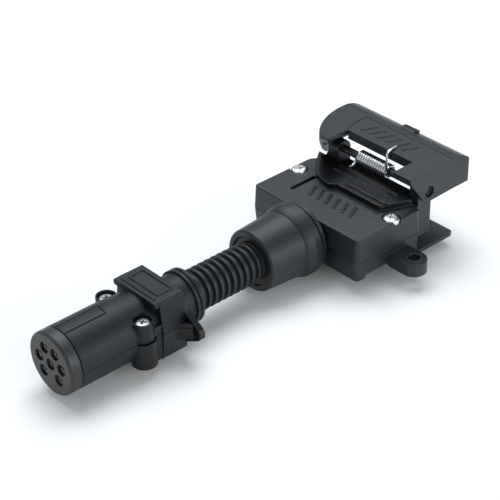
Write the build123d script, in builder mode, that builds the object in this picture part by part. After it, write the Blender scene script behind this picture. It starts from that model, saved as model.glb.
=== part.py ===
"""Trailer wiring adaptor: a small round seven-pin plug, a ribbed rubber boot and a flat seven-pin
socket with a sprung lid, which stands open. Millimetres, +Z up, X along the cable axis."""

from build123d import *
import os
from math import acos, asin, atan2, cos, hypot, radians, sin, sqrt, tan

os.makedirs("parts", exist_ok=True)

# ---------------------------------------------------------------- driving dimensions
overall_length = 164.7
axis_z = 13.4  # height of the cable axis: the radius of the boot collar, the lowest piece
barrel_radius = 11.0
nose_x = -overall_length / 2  # front face of the round plug
barrel_x = nose_x + 4.4  # seam between the nose ring and the case
case_end_x = nose_x + 55.6  # rear face of the plug's neck
collar_x = nose_x + 83.8
socket_x = nose_x + 108.8  # front face of the flat socket
socket_rear_x = socket_x + 31.4
mouth_x = socket_x + 38.6  # rim of the flat socket's mouth

seam_depth = 0.35
seam_half_width = 0.1

# plug
carrier_radius = 9.3
contact_ring_radius = 5.7
contact_angles = [90 + step * 55 for step in (-2.5, -1.5, -0.5, 0.5, 1.5, 2.5)]
sleeve_radius = 1.8
sleeve_bore_radius = 1.2
core_radius = 0.7
grub_radius = 1.25
block_x = nose_x + 35.8
block_end_x = nose_x + 45.6
block_top = 11.4
block_bottom = -10.8
lip_x = block_x - 1.8
tower_x = nose_x + 29.8
tower_y = 9.2
tower_top = 7.0
tower_seat = tower_top - 2.4  # the screw's head sits down a well
web_y = 11.3  # outer face of the web between a tower and the saddle block

# cable
wire_radius = 0.9
wire_pitch = 2.12
sheath_radius = 4.3
sheath_bore = 3.35
boot_crest = 7.4
boot_trough = 5.9
boot_bore = 4.8
rib_pitch = 2.75
rib_count = 10

# flat socket, heights from the cable axis
socket_half_width = 26.2
seam_z = -0.3
cover_top = 8.5
floor_z = -8.0
mouth_low, mouth_high = -3.7, 6.5
mouth_half_width = 22.1
contact_pitch = 5.6
contact_z = 1.4
socket_contact_radius = 2.0
frame_half_width = 23.6
screw_x = socket_x + 19.65
screw_y = 22.8
tab_x = socket_x + 20.3
tab_y = 33.4
tab_root_y = 27.1
tab_radius = 4.6
tab_low, tab_height = -8.0, 4.8

# lid, open
hinge_x = socket_x + 35.2
hinge_z = axis_z + 13.7
pin_radius = 1.4
lid_top = axis_z + 22.4
lid_near_x = socket_x + 25.3
lid_far_x = overall_length / 2
lid_right_y = -25.8
lid_left_y = 27.5
lid_wall = 1.6

cable_axis = Axis((0, 0, axis_z), (1, 0, 0))
seam_plane = Plane.XY.offset(axis_z)
socket_seam_plane = Plane.XY.offset(axis_z + seam_z)


# ---------------------------------------------------------------- shared shapes
def disc(x0, x1, radius, mode=Mode.ADD, y=0.0, z=0.0):
    """A cylinder along X between two stations, centred on the cable axis unless y and z say otherwise."""
    with BuildSketch(Plane.YZ.offset(x0)) as face:
        with Locations((y, axis_z + z)):
            Circle(radius)
    extrude(face.sketch, amount=x1 - x0, mode=mode)


def post(x, y, z0, z1, radius, mode=Mode.ADD):
    """A vertical cylinder between two heights above the cable axis."""
    with BuildSketch(Plane.XY.offset(axis_z + z0)) as face:
        with Locations((x, y)):
            Circle(radius)
    extrude(face.sketch, amount=z1 - z0, mode=mode)


def slab(x0, x1, y0, y1, z0, z1, mode=Mode.ADD):
    """A box between two corners, with heights above the cable axis."""
    with BuildSketch(Plane.XY.offset(axis_z + z0)) as face:
        with Locations(((x0 + x1) / 2, (y0 + y1) / 2)):
            Rectangle(x1 - x0, y1 - y0)
    extrude(face.sketch, amount=z1 - z0, mode=mode)


def turned(points, mode=Mode.ADD):
    """A solid of revolution about the cable axis, from (x, radius) points."""
    with BuildSketch(Plane.XZ) as profile:
        with BuildLine():
            Polyline(*[(x, axis_z + r) for x, r in points], close=True)
        make_face()
    revolve(profile.sketch, axis=cable_axis, mode=mode)


def lengthwise(points, x0, x1, mode=Mode.ADD):
    """A prism along X, from (y, height above the cable axis) points."""
    with BuildSketch(Plane.YZ.offset(x0)) as profile:
        with BuildLine():
            Polyline(*[(y, axis_z + z) for y, z in points], close=True)
        make_face()
    extrude(profile.sketch, amount=x1 - x0, mode=mode)


def cross_screw(x, y, seat, length, shank, head, height):
    """A pan-head cross-recess screw pointing down, its head sitting at seat."""
    post(x, y, seat - length, seat, shank)
    rim, rise = axis_z + seat + height * 0.45, height * 0.55
    dome = (head**2 + rise**2) / (2 * rise)
    half_turn = asin(head / dome) / 2
    crest = rim + rise
    halfway = (x + dome * sin(half_turn), crest - dome + dome * cos(half_turn))
    with BuildSketch(Plane.XZ.offset(-y)) as crown:
        with BuildLine():
            Polyline((x, crest), (x, axis_z + seat), (x + head, axis_z + seat), (x + head, rim))
            ThreePointArc((x + head, rim), halfway, (x, crest))
        make_face()
    revolve(crown.sketch, axis=Axis((x, y, 0), (0, 0, 1)))
    recess = height * 0.75
    for turn in (0, 90):
        with BuildSketch(Plane.XY.offset(axis_z + seat + height)) as slot:
            with Locations(Location((x, y), 35 + turn)):
                Rectangle(head * 1.15, head * 0.26)
        extrude(slot.sketch, amount=-recess, taper=8, mode=Mode.SUBTRACT)


def grub_screw(x, y, z, direction, inner, outer, radius):
    """A grub screw along a radius of the cable axis, with a slot in its outer end."""
    plane = Plane(origin=(x, y, axis_z + z), z_dir=direction)
    with BuildSketch(plane.offset(inner)) as shank:
        Circle(radius)
    extrude(shank.sketch, amount=outer - inner)
    with BuildSketch(plane.offset(outer)) as slot:
        Rectangle(radius * 2.2, radius * 0.4)
    extrude(slot.sketch, amount=-radius * 0.6, mode=Mode.SUBTRACT)


def ring_place(angle, radius=contact_ring_radius):
    return radius * cos(radians(angle)), radius * sin(radians(angle))


def outward(angle):
    return 0, cos(radians(angle)), sin(radians(angle))


plug_places = [ring_place(angle) for angle in contact_angles]

# ================================================================ round plug
carrier_end_x = nose_x + 22.0
grub_x = nose_x + 18.5
key_strip_half_width = 2.4

with BuildPart() as plug_contact_carrier:
    turned(
        [
            (nose_x, 0),
            (nose_x, barrel_radius - 0.8),
            (nose_x + 0.25, barrel_radius - 0.25),
            (nose_x + 0.8, barrel_radius),
            (barrel_x - 0.3, barrel_radius),
            (barrel_x, barrel_radius - 0.4),
            (barrel_x, carrier_radius),
            (nose_x + 11, carrier_radius),
            (nose_x + 11, carrier_radius - 0.8),
            (nose_x + 12.6, carrier_radius - 0.8),
            (nose_x + 12.6, carrier_radius),
            (carrier_end_x, carrier_radius),
            (carrier_end_x, 0),
        ]
    )
    for y, z in [(0, 0)] + plug_places:
        disc(nose_x - 1, carrier_end_x + 1, sleeve_radius + 0.02, Mode.SUBTRACT, y, z)
        disc(nose_x - 1, nose_x + 1.2, 2.05, Mode.SUBTRACT, y, z)
    for angle, (y, z) in zip(contact_angles, plug_places):
        screw_plane = Plane(origin=(grub_x, y, axis_z + z), z_dir=outward(angle))
        with BuildSketch(screw_plane) as screw_hole:
            Circle(grub_radius + 0.15)
        extrude(screw_hole.sketch, amount=carrier_radius, mode=Mode.SUBTRACT)
plug_contact_carrier.part.label = "plug_contact_carrier"
export_step(plug_contact_carrier.part, "parts/plug_contact_carrier.step")

with BuildPart() as plug_contact_sleeves:
    for number, (y, z) in enumerate([(0, 0)] + plug_places):
        sleeve_end_x = carrier_end_x + (5.0 if number == 0 else 1.0)
        disc(nose_x + 1.0, sleeve_end_x, sleeve_radius, Mode.ADD, y, z)
        disc(nose_x + 0.5, nose_x + 13.5, sleeve_bore_radius, Mode.SUBTRACT, y, z)
        disc(sleeve_end_x - 6.5, sleeve_end_x + 1, core_radius + 0.05, Mode.SUBTRACT, y, z)
        slab(nose_x, nose_x + 9, y - sleeve_radius, y + sleeve_radius, z - 0.2, z + 0.2, Mode.SUBTRACT)
    for angle, (y, z) in zip(contact_angles, plug_places):
        screw_plane = Plane(origin=(grub_x, y, axis_z + z), z_dir=outward(angle))
        with BuildSketch(screw_plane) as tapping:
            Circle(grub_radius + 0.02)
        extrude(tapping.sketch, amount=sleeve_radius + 0.5, mode=Mode.SUBTRACT)
    centre_grub_x = carrier_end_x + 2.6
    post(centre_grub_x, 0, 0, sleeve_radius + 0.5, grub_radius + 0.02, Mode.SUBTRACT)
plug_contact_sleeves.part.label = "plug_contact_sleeves"
export_step(plug_contact_sleeves.part, "parts/plug_contact_sleeves.step")

grub_top = carrier_radius - contact_ring_radius - 0.4

with BuildPart() as plug_terminal_screws:
    for angle, (y, z) in zip(contact_angles, plug_places):
        grub_screw(grub_x, y, z, outward(angle), core_radius + 0.05, grub_top, grub_radius)
    grub_screw(centre_grub_x, 0, 0, (0, 0, 1), core_radius + 0.05, 3.4, grub_radius)
plug_terminal_screws.part.label = "plug_terminal_screws"
export_step(plug_terminal_screws.part, "parts/plug_terminal_screws.step")


def plug_case():
    """The whole case: barrel, saddle block, screw towers, finger wings and neck, with its hollow."""
    turned(
        [
            (barrel_x, 0),
            (barrel_x, barrel_radius - 0.4),
            (barrel_x + 0.3, barrel_radius),
            (nose_x + 25, barrel_radius),
            (block_x + 0.5, barrel_radius - 0.7),
            (block_end_x, barrel_radius - 0.7),
            (block_end_x, 8.9),
            (case_end_x - 3.2, 8.9),
            (case_end_x - 3.2, 9.7),
            (case_end_x - 2.0, 9.7),
            (case_end_x - 2.0, 9.2),
            (case_end_x - 1.4, 9.2),
            (case_end_x - 1.4, 9.7),
            (case_end_x - 0.3, 9.7),
            (case_end_x, 9.4),
            (case_end_x, 0),
        ]
    )
    with BuildSketch(Plane.YZ.offset(block_x)) as block:
        with BuildLine():
            Polyline(
                (-10.5, axis_z + block_top),
                (-12.1, axis_z),
                (-11.5, axis_z + block_bottom),
                (11.5, axis_z + block_bottom),
                (12.1, axis_z),
                (10.5, axis_z + block_top),
                close=True,
            )
        make_face()
        fillet(block.vertices().group_by(Axis.Y)[0], 2.0)
        fillet(block.vertices().group_by(Axis.Y)[-1], 0.9)
    extrude(block.sketch, amount=block_end_x - block_x)
    with BuildSketch(Plane.YZ.offset(lip_x)) as lip:
        with Locations((0, axis_z + block_top - 1.1)):
            RectangleRounded(21.0, 2.2, 0.8)
    extrude(lip.sketch, amount=block_x - lip_x + 0.5)
    # saddle plate: a blank name frame with a double front bar
    frame_x0, frame_x1, frame_y = lip_x + 3.6, block_end_x - 1.6, 7.4
    bar = 0.5
    for x0, x1, y0, y1 in (
        (lip_x + 1.4, lip_x + 2.2, -frame_y - 1, frame_y + 1),
        (frame_x0, frame_x0 + bar, -frame_y, frame_y),
        (frame_x1 - bar, frame_x1, -frame_y, frame_y),
        (frame_x0, frame_x1, -frame_y, bar - frame_y),
        (frame_x0, frame_x1, frame_y - bar, frame_y),
    ):
        slab(x0, x1, y0, y1, block_top - 0.2, block_top + 0.35)
    # two fine grooves that edge the key strip along the top of the barrel
    groove_z = barrel_radius - 0.75
    for y in (-key_strip_half_width, key_strip_half_width):
        slab(barrel_x + 0.3, nose_x + 21, y - 0.2, y + 0.2, groove_z, 12, Mode.SUBTRACT)
    y = key_strip_half_width
    slab(nose_x + 20.6, nose_x + 21, -y, y, barrel_radius - 0.3, 12, Mode.SUBTRACT)
    for side in (-1, 1):
        post(tower_x, side * tower_y, block_bottom + 1.2, 0, 4.3)
        post(tower_x, side * tower_y, 0, tower_top, 3.6)
        web_y0, web_y1 = sorted((side * 7, side * web_y))
        slab(tower_x, block_x + 1, web_y0, web_y1, block_bottom + 1.2, 3.4)
        wing_top = [(10.0, 5.2), (11.6, 4.6), (18.6, 0.2), (19.3, -0.8)]
        wing_foot = [(19.3, -2.8), (18.6, -3.7), (12.4, -7.0), (10, -7.0)]
        lengthwise([(side * y, z) for y, z in wing_top + wing_foot], block_end_x - 1.0, block_end_x + 1.2)
        gusset = [(block_end_x - 5, 11.5), (block_end_x - 1.0, 11.5), (block_end_x - 1.0, 16.0)]
        with BuildSketch(Plane.XY.offset(axis_z - 4.5)) as web:
            with BuildLine():
                Polyline(*[(x, side * y) for x, y in gusset], close=True)
            make_face()
        extrude(web.sketch, amount=6.0)
    # hollow
    disc(barrel_x - 1, nose_x + 11, carrier_radius + 0.05, Mode.SUBTRACT)
    disc(nose_x + 10.9, nose_x + 12.7, carrier_radius - 0.75, Mode.SUBTRACT)
    disc(nose_x + 12.6, nose_x + 22.2, carrier_radius + 0.05, Mode.SUBTRACT)
    disc(nose_x + 22.1, block_x + 1, 8.8, Mode.SUBTRACT)
    slab(block_x + 0.8, block_end_x - 1.8, -9.4, 9.4, -9.0, 9.0, Mode.SUBTRACT)
    disc(block_end_x - 2, case_end_x - 6, 7.6, Mode.SUBTRACT)
    disc(case_end_x - 6.1, case_end_x - 4.1, 7.9, Mode.SUBTRACT)
    disc(case_end_x - 4.2, case_end_x + 1, 7.1, Mode.SUBTRACT)
    for side in (-1, 1):
        post(tower_x, side * tower_y, block_bottom + 1.2, tower_seat, 2.7)
        post(tower_x, side * tower_y, tower_seat, tower_top + 1, 3.05, Mode.SUBTRACT)
        post(tower_x, side * tower_y, block_bottom, tower_top, 1.55, Mode.SUBTRACT)
    # hairline groove round the seam
    with BuildSketch(Plane.XY.offset(axis_z - seam_half_width)) as groove:
        with Locations(((nose_x + case_end_x) / 2, 0)):
            Rectangle(case_end_x - nose_x + 10, 60)
        inset = seam_depth
        for x0, x1, half in (
            (barrel_x - 1, nose_x + 25, barrel_radius - inset),
            (nose_x + 24, block_x + 1, barrel_radius - 0.7 - inset),
            (tower_x, block_x + 1, web_y - inset),
            (block_x + inset, block_end_x - inset, 12.1 - inset),
            (block_end_x - 1, case_end_x - 3.0, 8.9 - inset),
            (case_end_x - 3.2 + inset, case_end_x + 1, 9.7 - inset),
        ):
            with Locations(((x0 + x1) / 2, 0)):
                Rectangle(x1 - x0, 2 * half, mode=Mode.SUBTRACT)
        with Locations((tower_x, tower_y), (tower_x, -tower_y)):
            Circle(3.6 - inset, mode=Mode.SUBTRACT)
        with Locations((block_end_x - 0.4, 0)):
            Rectangle(2.2, 2 * 19.0, mode=Mode.SUBTRACT)
    extrude(groove.sketch, amount=2 * seam_half_width, mode=Mode.SUBTRACT)


with BuildPart() as plug_upper_shell:
    plug_case()
    split(bisect_by=seam_plane, keep=Keep.TOP)
plug_upper_shell.part.label = "plug_upper_shell"
export_step(plug_upper_shell.part, "parts/plug_upper_shell.step")

clamp_x0, clamp_x1 = block_x + 1.8, block_x + 6.8
clamp_screw_y = 7.5
nut_flats = 5.5

with BuildPart() as plug_lower_shell:
    plug_case()
    split(bisect_by=seam_plane, keep=Keep.BOTTOM)
    slab(clamp_x0, clamp_x1, -9.6, 9.6, -9.2, -0.4)
    disc(clamp_x0 - 1, clamp_x1 + 1, sheath_radius + 0.1, Mode.SUBTRACT)
    for side in (-1, 1):
        post((clamp_x0 + clamp_x1) / 2, side * clamp_screw_y, -7.5, 0, 1.12, Mode.SUBTRACT)
        with BuildSketch(Plane.XY.offset(axis_z + block_bottom + 1.1)) as pocket:
            with Locations((tower_x, side * tower_y)):
                RegularPolygon((nut_flats + 0.2) / 2, 6, major_radius=False)
        extrude(pocket.sketch, amount=2.7, mode=Mode.SUBTRACT)
plug_lower_shell.part.label = "plug_lower_shell"
export_step(plug_lower_shell.part, "parts/plug_lower_shell.step")

with BuildPart() as plug_case_screws:
    for side in (-1, 1):
        cross_screw(tower_x, side * tower_y, tower_seat, 13.8, 1.5, 2.75, 1.9)
plug_case_screws.part.label = "plug_case_screws"
export_step(plug_case_screws.part, "parts/plug_case_screws.step")

with BuildPart() as plug_case_nuts:
    for side in (-1, 1):
        with BuildSketch(Plane.XY.offset(axis_z + block_bottom + 1.35)) as nut:
            with Locations((tower_x, side * tower_y)):
                RegularPolygon(nut_flats / 2, 6, major_radius=False)
                Circle(1.52, mode=Mode.SUBTRACT)
        extrude(nut.sketch, amount=2.4)
plug_case_nuts.part.label = "plug_case_nuts"
export_step(plug_case_nuts.part, "parts/plug_case_nuts.step")

clamp_seat = 1.8

with BuildPart() as plug_cable_clamp:
    with BuildSketch(Plane.YZ.offset(clamp_x0 + 0.2)) as saddle:
        with Locations((0, axis_z)):
            Circle(sheath_radius + 1.3)
        with Locations((0, axis_z + clamp_seat / 2)):
            Rectangle(18.4, clamp_seat)
        with Locations((0, axis_z - 10)):
            Rectangle(30, 20, mode=Mode.SUBTRACT)
        with Locations((0, axis_z)):
            Circle(sheath_radius + 0.1, mode=Mode.SUBTRACT)
    extrude(saddle.sketch, amount=clamp_x1 - clamp_x0 - 0.4)
    for side in (-1, 1):
        post((clamp_x0 + clamp_x1) / 2, side * clamp_screw_y, -1, 4, 1.2, Mode.SUBTRACT)
plug_cable_clamp.part.label = "plug_cable_clamp"
export_step(plug_cable_clamp.part, "parts/plug_cable_clamp.step")

with BuildPart() as plug_clamp_screws:
    for side in (-1, 1):
        cross_screw((clamp_x0 + clamp_x1) / 2, side * clamp_screw_y, clamp_seat, 8.0, 1.1, 1.75, 1.3)
plug_clamp_screws.part.label = "plug_clamp_screws"
export_step(plug_clamp_screws.part, "parts/plug_clamp_screws.step")

# ================================================================ cable
boot_x = case_end_x - 6.0  # front flange, in the neck's groove
rib_x = case_end_x + 0.6
rib_end_x = rib_x + rib_count * rib_pitch
boot_tail_x = collar_x + 8.0

with BuildPart() as boot:
    turned(
        [
            (boot_x, boot_bore),
            (boot_x, 7.8),
            (boot_x + 1.7, 7.8),
            (boot_x + 1.7, 7.0),
            (case_end_x + 0.3, 7.0),
            (case_end_x + 0.3, boot_trough + 0.2),
            (rib_end_x, boot_trough + 0.2),
            (rib_end_x, 6.8),
            (boot_tail_x, 6.8),
            (boot_tail_x, boot_bore),
        ]
    )
    for number in range(rib_count):
        crest_x = rib_x + number * rib_pitch
        turned(
            [
                (crest_x, boot_trough),
                (crest_x + 0.2, boot_crest - 0.25),
                (crest_x + 0.45, boot_crest),
                (crest_x + 1.4, boot_crest),
                (crest_x + 1.65, boot_crest - 0.25),
                (crest_x + 1.85, boot_trough),
            ]
        )
boot.part.label = "boot"
export_step(boot.part, "parts/boot.step")

spout_x = socket_x - 15.0
spout_radius = 8.2
barb_radius = 9.2

with BuildPart() as boot_collar:
    with BuildSketch(Plane.XZ):
        with BuildLine():
            Polyline(
                (collar_x + 0.9, axis_z + 6.9),
                (collar_x + 0.9, axis_z + 8.6),
                (collar_x, axis_z + 9.2),
                (collar_x, axis_z + 10.3),
            )
            RadiusArc((collar_x, axis_z + 10.3), (collar_x + 1.1, axis_z + 11.3), 1.1)
            Polyline(
                (collar_x + 1.1, axis_z + 11.3),
                (collar_x + 15.2, axis_z + 12.1),
                (collar_x + 15.4, axis_z + 11.9),
                (collar_x + 15.6, axis_z + 12.2),
            )
            RadiusArc((collar_x + 15.6, axis_z + 12.2), (collar_x + 18.6, axis_z + axis_z), 12)
            Polyline(
                (collar_x + 18.6, axis_z + axis_z),
                (collar_x + 21.4, axis_z + axis_z),
                (collar_x + 21.9, axis_z + axis_z - 0.5),
                (collar_x + 21.9, axis_z + 12.0),
                (collar_x + 22.6, axis_z + 12.0),
                (collar_x + 22.6, axis_z + 12.6),
                (collar_x + 23.9, axis_z + 12.6),
                (collar_x + 24.3, axis_z + 12.2),
                (socket_x - 0.4, axis_z + 11.4),
                (socket_x - 0.4, axis_z + spout_radius + 0.05),
                (spout_x + 2.1, axis_z + spout_radius + 0.05),
                (spout_x + 2.1, axis_z + barb_radius + 0.05),
                (spout_x - 0.5, axis_z + barb_radius + 0.05),
                (spout_x - 0.5, axis_z + 6.9),
                (collar_x + 0.9, axis_z + 6.9),
            )
        make_face()
    revolve(axis=cable_axis)
boot_collar.part.label = "boot_collar"
export_step(boot_collar.part, "parts/boot_collar.step")

sheath_x0, sheath_x1 = clamp_x0 - 1.0, spout_x + 8.5

with BuildPart() as cable_sheath:
    disc(sheath_x0, sheath_x1, sheath_radius)
    disc(sheath_x0 - 1, sheath_x1 + 1, sheath_bore, Mode.SUBTRACT)
cable_sheath.part.label = "cable_sheath"
export_step(cable_sheath.part, "parts/cable_sheath.step")

with BuildPart() as cable_grommet:
    disc(spout_x + 2.2, spout_x + 8.0, 6.15)
    disc(spout_x + 3.6, spout_x + 5.2, 7.0)
    disc(spout_x + 2, spout_x + 9, sheath_radius + 0.1, Mode.SUBTRACT)
cable_grommet.part.label = "cable_grommet"
export_step(cable_grommet.part, "parts/cable_grommet.step")

# A wire runs from its contact in the plug, through its place in the bundle, to its contact in the socket.
socket_sleeve_x0, socket_sleeve_x1 = socket_x + 11.6, socket_x + 23.9
bundle = [(0.0, 0.0)] + [ring_place(angle, wire_pitch) for angle in contact_angles]
wire_places = {
    # colour: (plug contact, contact in the socket's row, counted from the middle)
    "white": (0, 0),
    "yellow": (3, 1),
    "black": (4, -1),
    "green": (1, 2),
    "blue": (6, -2),
    "red": (2, 3),
    "brown": (5, -3),
}


def arc_radii(points):
    """The largest arc that each corner's two runs leave room for."""
    radii = []
    for before, corner, after in zip(points, points[1:], points[2:]):
        arriving, leaving = Vector(*corner) - Vector(*before), Vector(*after) - Vector(*corner)
        turn = arriving.get_angle(leaving)
        radii.append(0.45 * min(arriving.length, leaving.length) / tan(radians(turn / 2)))
    return radii


for colour, (plug_number, place) in wire_places.items():
    start_y, start_z = ([(0.0, 0.0)] + plug_places)[plug_number]
    bundle_y, bundle_z = bundle[plug_number]
    end_y = place * contact_pitch
    start_x = carrier_end_x + (5.1 if plug_number == 0 else 1.1)
    route = [(start_x, start_y, axis_z + start_z)]
    if plug_number:
        route.append((start_x + 3.5, start_y, axis_z + start_z))
        route.append((sheath_x0 - 3.0, bundle_y, axis_z + bundle_z))
    route.append((socket_x - 4.0, bundle_y, axis_z + bundle_z))
    if place:
        fan_y = end_y * 0.24 + bundle_y * 0.9
        fan_z = contact_z * 0.1 + bundle_z * 0.9
        route.append((socket_x + 2.2, fan_y, axis_z + fan_z))
    route.append((socket_x + 8.3, end_y, axis_z + contact_z))
    route.append((socket_sleeve_x0 - 0.1, end_y, axis_z + contact_z))
    with BuildPart() as wire:
        with BuildLine() as wire_path:
            FilletPolyline(*route, radius=arc_radii(route))
        with BuildSketch(Plane(origin=wire_path.line @ 0, z_dir=wire_path.line % 0)):
            Circle(wire_radius)
        sweep(path=wire_path.line)
        disc(start_x - 5.5, start_x + 0.5, core_radius, Mode.ADD, start_y, start_z)
        disc(socket_sleeve_x0 - 0.5, socket_sleeve_x0 + 4.5, core_radius, Mode.ADD, end_y, contact_z)
    smallest = min(arc_radii(route))
    print(f"wire_{colour}: smallest bend {smallest:.1f} mm, length {wire_path.wires()[0].length:.1f} mm")
    wire.part.label = f"wire_{colour}"
    export_step(wire.part, f"parts/wire_{colour}.step")

# ================================================================ flat socket
contact_ys = [place * contact_pitch for place in range(-3, 4)]
socket_flange_x0, socket_flange_x1 = socket_x + 14.7, socket_x + 16.9
socket_carrier_x1 = socket_x + 24.5


def socket_outline(plane, left_rear_radius, half_width=socket_half_width):
    """Plan of the housing, its rear left corner rounded more than the rest."""
    with BuildSketch(plane) as outline:
        with Locations(((socket_x + socket_rear_x) / 2, 0)):
            Rectangle(socket_rear_x - socket_x, 2 * half_width)
        corners = outline.vertices().sort_by(Axis.Y)
        left_rear = corners[2:].sort_by(Axis.X)[-1]
        others = [corner for corner in outline.vertices() if corner != left_rear]
        fillet(others, 2.0)
        left_again = outline.vertices().sort_by_distance((socket_rear_x, half_width, plane.origin.Z))[0]
        fillet(left_again, left_rear_radius)
    return outline.sketch


def mouth_opening(x0, x1):
    """The flat mouth, one upper corner rounded more than the rest so that a plug fits one way only."""
    with BuildSketch(Plane.YZ.offset(x0)) as opening:
        with Locations((0, axis_z + (mouth_low + mouth_high) / 2)):
            Rectangle(2 * mouth_half_width, mouth_high - mouth_low)
        keyed = opening.vertices().sort_by_distance((x0, mouth_half_width, axis_z + mouth_high))[0]
        others = [corner for corner in opening.vertices() if corner != keyed]
        fillet(others, 1.2)
        keyed = opening.vertices().sort_by_distance((x0, mouth_half_width, axis_z + mouth_high))[0]
        fillet(keyed, 4.5)
    extrude(opening.sketch, amount=x1 - x0, mode=Mode.SUBTRACT)


def terminal_chamber(z0, z1):
    """The hollow for the wires, the terminals and the contact carrier's flange."""
    slab(socket_x + 2.2, socket_flange_x1 + 0.1, -23.4, 23.4, z0, z1, Mode.SUBTRACT)
    slab(socket_x + 0.5, socket_x + 2.3, -9.5, 9.5, max(z0, -4.8), min(z1, 5.2), Mode.SUBTRACT)


def spout():
    """The cable spout, with its barb."""
    turned(
        [
            (spout_x, 0),
            (spout_x, barb_radius - 1.0),
            (spout_x + 0.6, barb_radius),
            (spout_x + 2.0, barb_radius),
            (spout_x + 2.0, spout_radius),
            (socket_x + 1.0, spout_radius),
            (socket_x + 1.0, 0),
        ]
    )


def seam_groove():
    """A hairline round the housing where the cover meets the body."""
    with BuildSketch(Plane.XY.offset(axis_z + seam_z - seam_half_width)) as groove:
        with Locations(((socket_x + mouth_x) / 2, 0)):
            Rectangle(mouth_x - socket_x, 60)
        with Locations(((socket_x + mouth_x) / 2 + seam_depth, 0)):
            Rectangle(mouth_x - socket_x, 2 * (socket_half_width - seam_depth), mode=Mode.SUBTRACT)
    extrude(groove.sketch, amount=2 * seam_half_width, mode=Mode.SUBTRACT)


frame_low = -4.7
frame_top = 8.0
ear_radius = 3.2
plate_x = socket_x + 49.2

with BuildPart() as socket_body:
    spout()
    split(bisect_by=socket_seam_plane, keep=Keep.BOTTOM)
    extrude(socket_outline(socket_seam_plane, 2.6), amount=-(seam_z - floor_z), taper=5)
    slab(socket_x + 4.6, socket_x + 24, -30, 30, floor_z - 1, floor_z + 1.4, Mode.SUBTRACT)
    terminal_chamber(-5.0, 2)
    slab(socket_flange_x1, socket_carrier_x1 + 0.1, -19.8, 19.8, mouth_low, 2, Mode.SUBTRACT)
    # base plate under the mouth
    with BuildSketch(Plane.XY.offset(axis_z + floor_z - 2.0)) as plate:
        with Locations(((socket_x + 24 + plate_x) / 2, 0)):
            Rectangle(plate_x - socket_x - 24, 51.2)
        fillet(plate.vertices().group_by(Axis.X)[-1], 1.6)
    extrude(plate.sketch, amount=1.4)
    slab(socket_x + 24, socket_rear_x, -25.0, 25.0, floor_z - 1.0, floor_z + 1.0)
    # mouth frame
    slab(socket_rear_x, mouth_x, -frame_half_width, frame_half_width, frame_low, frame_top)
    slab(socket_rear_x - 2, socket_rear_x + 1, -frame_half_width, frame_half_width, frame_low, seam_z)
    with BuildSketch(Plane.YZ.offset(socket_rear_x + 0.6)) as shoulder:
        with BuildLine():
            Polyline(
                (frame_half_width, axis_z + 6.0),
                (20.4, axis_z + 12.5),
                (15.6, axis_z + 12.5),
                (15.6, axis_z + 6.0),
                close=True,
            )
        make_face()
    extrude(shoulder.sketch, amount=6.2)
    for y0, y1 in ((-frame_half_width, -19.5), (15.6, 20.4)):
        with BuildSketch(Plane.XZ.offset(-y0)) as ear:
            with Locations((hinge_x, hinge_z)):
                Circle(ear_radius)
            with BuildLine():
                Polyline(
                    (hinge_x - ear_radius, hinge_z),
                    (hinge_x - ear_radius, axis_z + frame_top - 0.5),
                    (hinge_x + ear_radius, axis_z + frame_top - 0.5),
                    (hinge_x + ear_radius, hinge_z),
                    close=True,
                )
            make_face()
        extrude(ear.sketch, amount=-(y1 - y0))
    mouth_opening(socket_carrier_x1, mouth_x + 1)
    with BuildSketch(Plane.XZ.offset(30)) as hinge_bore:
        with Locations((hinge_x, hinge_z)):
            Circle(pin_radius + 0.02)
    extrude(hinge_bore.sketch, amount=-60, mode=Mode.SUBTRACT)
    # mounting ears
    for side in (-1, 1):
        with BuildSketch(Plane.XY.offset(axis_z + tab_low)) as tab:
            with Locations((tab_x, side * tab_root_y), (tab_x, side * tab_y)):
                Circle(tab_radius)
            with Locations((tab_x, side * (tab_root_y + tab_y) / 2)):
                Rectangle(2 * tab_radius, tab_y - tab_root_y)
        extrude(tab.sketch, amount=tab_height)
        slab(tab_x - 0.6, tab_x + 4.2, min(side * 24, side * 31), max(side * 24, side * 31), -7.6, -3.6)
        post(tab_x, side * tab_y, -3.3, -2.8, 3.1)
        post(tab_x, side * tab_y, -10, 0, 2.1, Mode.SUBTRACT)
    disc(spout_x - 1, socket_x + 3, 6.2, Mode.SUBTRACT)
    disc(spout_x + 3.55, spout_x + 5.25, 7.05, Mode.SUBTRACT)
    for side in (-1, 1):
        post(screw_x, side * screw_y, -5.2, 2, 1.32, Mode.SUBTRACT)
    seam_groove()
socket_body.part.label = "socket_body"
export_step(socket_body.part, "parts/socket_body.step")

platform_top = 10.7

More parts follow.
